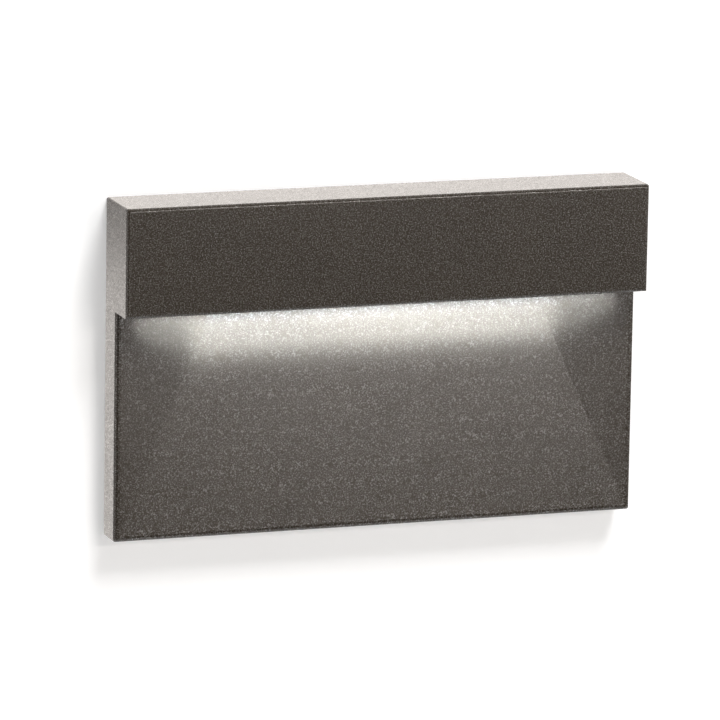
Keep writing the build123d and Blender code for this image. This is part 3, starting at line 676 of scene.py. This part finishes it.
class StageSettings(bpy.types.PropertyGroup):
    azimuth: FloatProperty(
        name="Azimuth", description="Camera's angle round the light, from its front",
        subtype="ANGLE", default=math.radians(-19.314),
    )
    elevation: FloatProperty(
        name="Elevation", description="Camera's angle above the light",
        subtype="ANGLE", default=math.radians(12.092),
    )
    roll: FloatProperty(
        name="Roll", description="Camera's lean", subtype="ANGLE", default=math.radians(0.954),
    )
    distance: FloatProperty(
        name="Distance", description="Camera to the point it looks at",
        unit="LENGTH", default=1.58697,
    )
    target: FloatVectorProperty(
        name="Target", description="Point that the camera looks at",
        subtype="TRANSLATION", unit="LENGTH", default=(-0.00157, 0.0, -0.00174),
    )
    lens: FloatProperty(name="Lens", description="Focal length in millimetres", default=341.2)
    floor_drop: FloatProperty(
        name="Floor", description="Floor below the middle of the light", unit="LENGTH", default=0.6,
    )
    wall_lift: FloatProperty(
        name="Wall lift", description="White added to the wall where it is seen", default=0.38,
    )
    key: FloatProperty(name="Key", description="Lamp above, in watts", default=25.0)
    fill: FloatProperty(name="Fill", description="Lamps in front, in watts", default=1.95)
    rear: FloatProperty(name="Rear", description="Lamp behind the wall, in watts", default=2.15)
    side: FloatProperty(name="Side", description="Lamp behind and beside, in watts", default=0.185)
    sky: FloatProperty(name="Sky", description="Strength of the surrounding light", default=0.1)


class StepLightSettings(bpy.types.PropertyGroup):
    coat: PointerProperty(type=CoatSettings, name="Coat")
    lamp: PointerProperty(type=LampSettings, name="Lamp")
    grommet: PointerProperty(type=GrommetSettings, name="Grommet")
    screws: PointerProperty(type=ScrewSettings, name="Screws")
    stage: PointerProperty(type=StageSettings, name="Stage")


# --------------------------------------------------------------------- operators
class STEPLIGHT_OT_face(bpy.types.Operator):
    """Coats the face casting and finishes its wall gasket"""

    bl_idname = "step_light.face"
    bl_label = "Face casting"

    def execute(self, context):
        dress("face_casting", "wall_gasket")
        return {"FINISHED"}


class STEPLIGHT_OT_lamp(bpy.types.Operator):
    """Finishes the lens, its carrier, the LED board and the leads"""

    bl_idname = "step_light.lamp"
    bl_label = "Lamp"

    def execute(self, context):
        dress("window_lens", "lens_seal", "led_carrier", "thermal_pad", "led_board")
        dress("led_packages", "led_phosphors", "led_connector")
        dress("led_lead_positive", "led_lead_negative")
        lamp = context.scene.step_light.lamp
        self.beam("throw", lamp.throw, lamp.throw_tilt, lamp.throw_spread)
        self.beam("wash", lamp.wash, lamp.wash_tilt, lamp.wash_spread)
        return {"FINISHED"}

    def beam(self, name, watts, tilt, spread):
        """Light at the window that leans back towards the scoop and fades at its ends."""
        lamp = bpy.context.scene.step_light.lamp
        low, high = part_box("window_lens")
        strips = (("RECTANGLE", lamp.even_length), ("ELLIPSE", lamp.fading_length))
        for shape, length in strips:
            light = bpy.data.lights.new(name, "AREA")
            light.shape = shape
            light.size = length * (high.x - low.x)
            light.size_y = lamp.strip_width
            light.spread = spread
            light.energy = watts / len(strips)
            light.color = lamp.colour
            holder = bpy.data.objects.new(name, light)
            holder.location = (0, (low.y + high.y) / 2, low.z - lamp.strip_drop)
            holder.rotation_euler = (tilt, 0, 0)
            bpy.context.collection.objects.link(holder)


class STEPLIGHT_OT_circuit(bpy.types.Operator):
    """Finishes the driver board and its components"""

    bl_idname = "step_light.circuit"
    bl_label = "Driver circuit"

    def execute(self, context):
        dress("driver_board", "fuse", "varistor", "film_capacitor", "bulk_capacitor")
        dress("filter_choke", "transformer_core", "transformer_bobbin", "transformer_winding")
        dress("bridge_rectifier", "controller_chip", "power_resistors")
        dress("output_terminal", "input_terminal")
        return {"FINISHED"}


class STEPLIGHT_OT_housing(bpy.types.Operator):
    """Finishes the rear housing and models the supply grommet in its lid"""

    bl_idname = "step_light.housing"
    bl_label = "Rear housing"

    def execute(self, context):
        dress("rear_housing", "housing_gasket", "lid_gasket", "driver_lid")
        self.grommet()
        return {"FINISHED"}

    def grommet(self):
        """Grommet with a collar each side of the lid, the outer one drawn in to its rim."""
        s = bpy.context.scene.step_light.grommet
        low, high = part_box("supply_grommet")
        lid_low, lid_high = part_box("driver_lid")
        flange = (high.x - low.x) / 2
        rounded = flange - s.rounding
        neck = flange * s.neck
        inside = lid_low.y - low.y
        outside = lid_high.y - low.y
        end = high.y - low.y
        shoulder_at = outside + (end - outside) * s.shoulder_height
        rings = [
            (rounded, 0.0),
            (flange, s.rounding),
            (flange, inside - s.rounding),
            (rounded, inside),
            (neck, inside),
            (neck, outside),
            (rounded, outside),
            (flange, outside + s.rounding),
            (flange * s.shoulder, shoulder_at),
            (flange * s.rim, end - s.rounding),
            (neck, end),
        ]
        body = turned("grommet_body", s.sides, rings)
        bpy.ops.mesh.primitive_cylinder_add(
            vertices=s.bore_sides, radius=flange * s.bore, depth=3 * end, location=(0, 0, inside)
        )
        cut_away(body, settle(bpy.context.object))
        centre = Vector(((low.x + high.x) / 2, low.y, (low.z + high.z) / 2))
        hand_in(placed(body, "supply_grommet_moulded", [centre], OUTWARDS), "supply_grommet")


class STEPLIGHT_OT_bracket(bpy.types.Operator):
    """Finishes the mounting bracket"""

    bl_idname = "step_light.bracket"
    bl_label = "Mounting bracket"

    def execute(self, context):
        dress("mounting_bracket")
        return {"FINISHED"}


class STEPLIGHT_OT_screws(bpy.types.Operator):
    """Models the screws with their threads and drives"""

    bl_idname = "step_light.screws"
    bl_label = "Screws"

    def execute(self, context):
        self.screws = context.scene.step_light.screws
        self.carrier_screws()
        self.housing_screws()
        self.lid_screws()
        self.box_screws()
        self.earth_screw()
        self.set_screws()
        return {"FINISHED"}

    def pan_heads(self, node, radius, places, turn=OUTWARDS):
        """Pan-head screws of a node, at places worked out from the middles of its heads."""
        low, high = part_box(node)
        head = radius * self.screws.head_ratio
        height = radius * self.screws.head_height_ratio
        if turn == OUTWARDS:
            seat, tip = high.y - height, low.y
        else:
            seat, tip = low.y + height, high.y
        pattern = pan_head_screw(node + "_pattern", radius, abs(tip - seat))
        sides = (low.x + head, high.x - head, low.z + head, high.z - head)
        seats = [Vector((x, seat, z)) for x, z in places(*sides)]
        hand_in(placed(pattern, node + "_cut", seats, turn), node)

    def carrier_screws(self):
        def places(left, right, bottom, top):
            middle = (bottom + top) / 2
            return [(left, middle), (right, middle)]

        self.pan_heads("carrier_screws", self.screws.inner_radius, places)

    def housing_screws(self):
        def places(left, right, bottom, top):
            x = self.screws.top_screw_x
            return [(left, bottom), (right, bottom), (-x, top), (x, top)]

        self.pan_heads("housing_screws", self.screws.inner_radius, places)

    def lid_screws(self):
        def places(left, right, bottom, top):
            return [(left, top), (right, bottom)]

        self.pan_heads("lid_screws", self.screws.lid_radius, places)

    def box_screws(self):
        def places(left, right, bottom, top):
            return [(left, 0.0), (right, 0.0)]

        self.pan_heads("box_screws", self.screws.box_radius, places, INWARDS)

    def earth_screw(self):
        """Slotted hexagon-head screw with its head against the bracket."""
        s = self.screws
        low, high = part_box("ground_screw")
        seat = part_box("mounting_bracket")[1].y - s.bracket_sheet
        height = seat - low.y
        length = high.y - seat
        corner = (high.x - low.x) / 2
        pitch = s.earth_radius * s.pitch_ratio
        depth = pitch * THREAD_DEPTH
        core = s.earth_radius - depth
        chamfer_at, chamfered = height * 0.88, corner * 0.9
        point, root = core * 0.5, 0.1 * MM
        slot = (3 * corner, corner * 0.26, height)
        head_rings = [(corner, 0.0), (corner, chamfer_at), (chamfered, height)]
        head = turned("earth_head", 6, head_rings)
        shank_rings = [(point, -length), (core, -length + depth), (core, root)]
        shank = turned("earth_shank", s.sides, shank_rings)
        deselect()
        bpy.ops.mesh.primitive_cube_add(size=1, location=(0, 0, height), scale=slot)
        cut_away(head, settle(bpy.context.object))
        ridge = thread_ridge(s.earth_radius, depth, pitch, -length + pitch, 0)
        pattern = joined(head, shank, ridge)
        centre = Vector(((low.x + high.x) / 2, seat, (low.z + high.z) / 2))
        hand_in(placed(pattern, "ground_screw_cut", [centre], INWARDS), "ground_screw")

    def set_screws(self):
        """Socket set screws, pointing up at the bracket's foot."""
        s = self.screws
        low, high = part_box("set_screws")
        radius = (high.y - low.y) / 2
        length = high.z - low.z
        pitch = radius * s.pitch_ratio
        depth = pitch * SET_SCREW_THREAD_DEPTH
        core = radius - depth
        mouth, point = core * 0.9, core * 0.6
        rings = [(mouth, 0.0), (core, depth), (core, length - depth), (point, length)]
        body = turned("set_screw", s.sides, rings)
        deselect()
        bpy.ops.mesh.primitive_cylinder_add(
            vertices=6, radius=s.socket_radius, depth=2 * s.socket_depth, location=(0, 0, 0)
        )
        cut_away(body, settle(bpy.context.object))
        ridge = thread_ridge(radius, depth, pitch, pitch, length - pitch)
        pattern = joined(body, ridge)
        y = (low.y + high.y) / 2
        seats = [Vector((low.x + radius, y, low.z)), Vector((high.x - radius, y, low.z))]
        hand_in(placed(pattern, "set_screws_cut", seats, 0.0), "set_screws")


def outward(azimuth, elevation):
    """Direction at an angle round the light from its front, and above it."""
    return Vector((
        math.sin(azimuth) * math.cos(elevation),
        -math.cos(azimuth) * math.cos(elevation),
        math.sin(elevation),
    ))


# Each lamp's azimuth and elevation in degrees, its distance, and its width and height
KEY_PLACE = (20, 56, 1.6, (0.6, 0.6))
REAR_PLACE = (160, 12, 1.5, (1.4, 0.5))
SIDE_PLACE = (-154, -24, 0.4, (0.2, 0.24))
# The lamps in front, which the coat mirrors, with their shares of the fill
FRONT_LAMPS = (
    ("front_lamp", 19, 17, 1.7, (0.5, 0.12), 2.4),
    ("middle_lamp", 19, -1, 1.7, (0.3, 0.08), 0.8),
    ("left_lamp", 38, -9, 1.7, (0.2, 0.2), 0.6),
    ("right_lamp", 0, -9, 1.7, (0.2, 0.2), 0.6),
    ("edge_lamp", -78, -2, 1.0, (0.6, 0.6), 0.5),
)
WARM = (1.0, 0.94, 0.89)        # colour of the lamps that the coat mirrors
WARM_SKY = (1.0, 0.95, 0.91)    # colour of the surroundings that it mirrors
WALL_SIZE = 6
WALL_GAP = 0.1 * MM             # wall behind the light's rear rim
FLOOR_SIZE = 1.6
SENSOR_WIDTH = 36               # millimetres
CLIP_END = 20


class STEPLIGHT_OT_stage(bpy.types.Operator):
    """Sets the wall, floor, lamps and camera"""

    bl_idname = "step_light.stage"
    bl_label = "Stage"

    def execute(self, context):
        self.settings = context.scene.step_light.stage
        self.wall()
        self.floor()
        self.lamps()
        self.sky(context.scene)
        self.camera(context.scene)
        context.scene.view_settings.view_transform = "Standard"
        return {"FINISHED"}

    def paint(self, name):
        """Pale matt paint, nearer white where it is seen, and clear from behind."""
        f = Tree(bpy.data.materials.new(name))
        seen, camera = self.seen(f)
        matt = f.node("ShaderNodeBsdfDiffuse", {}, Color=(0.8, 0.8, 0.8))
        white = f.node("ShaderNodeEmission", {}, Strength=1.0)
        whiter = f.node("ShaderNodeAddShader", {}, matt, white)
        pale = f.node("ShaderNodeMixShader", {}, seen * self.settings.wall_lift, matt, whiter)
        back = f.node("ShaderNodeNewGeometry", {}, output="Backfacing")
        clear = f.node("ShaderNodeBsdfTransparent", {})
        f.surface(f.node("ShaderNodeMixShader", {}, back * camera, pale, clear))
        return bpy.data.materials[name]

    def seen(self, tree):
        """Whether a ray is the camera's, or one that a mirror or glass has passed on."""
        camera, mirrored, passed = (
            tree.node("ShaderNodeLightPath", {}, output=f"Is {ray} Ray")
            for ray in ("Camera", "Glossy", "Transmission")
        )
        return (camera + mirrored + passed).clamp(), camera

    def sheet(self, name, size, location, rotation):
        """Plain sheet of wall or floor."""
        deselect()
        bpy.ops.mesh.primitive_plane_add(size=size, location=location, rotation=rotation)
        piece = settle(bpy.context.object)
        piece.name = name
        piece.data.materials.append(self.paint(name + "_paint"))
        return piece

    def wall(self):
        """Wall that the lamps behind it shine past, and that reflections look past."""
        wall = self.sheet("wall", WALL_SIZE, (0, WALL_GAP, 0), (math.radians(90), 0, 0))
        wall.visible_shadow = False
        wall.visible_glossy = False

    def floor(self):
        self.sheet("floor", FLOOR_SIZE, (0, 0, -self.settings.floor_drop), (0, 0, 0))

    def lamp(self, name, azimuth, elevation, distance, size, watts, colour=(1, 1, 1)):
        """Soft lamp that faces the light, placed by its angles as the camera is."""
        light = bpy.data.lights.new(name, "AREA")
        light.shape = "RECTANGLE"
        light.size, light.size_y = size
        light.energy = watts
        light.color = colour
        holder = bpy.data.objects.new(name, light)
        holder.location = distance * outward(math.radians(azimuth), math.radians(elevation))
        holder.rotation_euler = holder.location.to_track_quat("Z", "Y").to_euler()
        bpy.context.collection.objects.link(holder)
        return holder

    def lamps(self):
        s = self.settings
        key = self.lamp("key_lamp", *KEY_PLACE, s.key)
        key.visible_glossy = False
        for name, *place, share in FRONT_LAMPS:
            self.lamp(name, *place, s.fill * share, WARM)
        self.lamp("rear_lamp", *REAR_PLACE, s.rear, WARM)
        self.lamp("side_lamp", *SIDE_PLACE, s.side, WARM)

    def sky(self, scene):
        """Pale surroundings behind, beside and below, with the dim studio in front."""
        scene.world = bpy.data.worlds.new("surroundings")
        w = Tree(scene.world)
        seen, camera = self.seen(w)
        way = w.node("ShaderNodeTexCoord", {}, output="Generated")
        depth = w.node("ShaderNodeSeparateXYZ", {}, way, output="Y")
        height = w.node("ShaderNodeSeparateXYZ", {}, way, output="Z")
        behind = depth.step(-0.75, 0.05)
        above = height.step(-0.35, 0.15)
        backdrop = behind * (above * 0.4 + 0.6)
        sky = self.settings.sky
        dim = w.node("ShaderNodeBackground", {}, Color=(sky, sky, sky), Strength=1.0)
        warm = w.node("ShaderNodeBackground", {}, Color=WARM_SKY, Strength=1.0)
        white = w.node("ShaderNodeBackground", {}, Color=(1, 1, 1), Strength=1.0)
        mirrored = w.node("ShaderNodeMixShader", {}, seen * backdrop, dim, warm)
        light = w.node("ShaderNodeMixShader", {}, camera, mirrored, white)
        w.surface(light, "ShaderNodeOutputWorld")

    def camera(self, scene):
        s = self.settings
        back = outward(s.azimuth, s.elevation)
        right = Vector((0, 0, 1)).cross(back).normalized()
        up = back.cross(right)
        level = Matrix((right, up, back)).transposed().to_4x4()
        holder = bpy.data.objects.new("camera", bpy.data.cameras.new("camera"))
        holder.data.lens = s.lens
        holder.data.sensor_width = SENSOR_WIDTH
        holder.data.clip_end = CLIP_END
        place = Matrix.Translation(Vector(s.target) + back * s.distance)
        holder.matrix_world = place @ level @ Matrix.Rotation(s.roll, 4, "Z")
        scene.collection.objects.link(holder)
        scene.camera = holder


class STEPLIGHT_PT_panel(bpy.types.Panel):
    """Lists the steps that build the light"""

    bl_idname = "STEPLIGHT_PT_panel"
    bl_label = "Step light"
    bl_space_type = "VIEW_3D"
    bl_region_type = "UI"
    bl_category = "Step light"

    def draw(self, context):
        for step in STEPS:
            self.layout.operator(step.bl_idname)
        for group in ("coat", "lamp", "grommet", "screws", "stage"):
            settings = getattr(context.scene.step_light, group)
            box = self.layout.box()
            for name in settings.__annotations__:
                box.prop(settings, name)


GROUPS = (
    CoatSettings,
    LampSettings,
    GrommetSettings,
    ScrewSettings,
    StageSettings,
    StepLightSettings,
)
STEPS = (
    STEPLIGHT_OT_stage,
    STEPLIGHT_OT_face,
    STEPLIGHT_OT_lamp,
    STEPLIGHT_OT_housing,
    STEPLIGHT_OT_circuit,
    STEPLIGHT_OT_bracket,
    STEPLIGHT_OT_screws,
)


def register():
    for cls in (*GROUPS, *STEPS, STEPLIGHT_PT_panel):
        bpy.utils.register_class(cls)
    bpy.types.Scene.step_light = PointerProperty(type=StepLightSettings)


def unregister():
    del bpy.types.Scene.step_light
    for cls in reversed((*GROUPS, *STEPS, STEPLIGHT_PT_panel)):
        bpy.utils.unregister_class(cls)


def main():
    register()
    bpy.ops.step_light.stage()
    bpy.ops.step_light.face()
    bpy.ops.step_light.lamp()
    bpy.ops.step_light.housing()
    bpy.ops.step_light.circuit()
    bpy.ops.step_light.bracket()
    bpy.ops.step_light.screws()


if __name__ == "__main__":
    main()
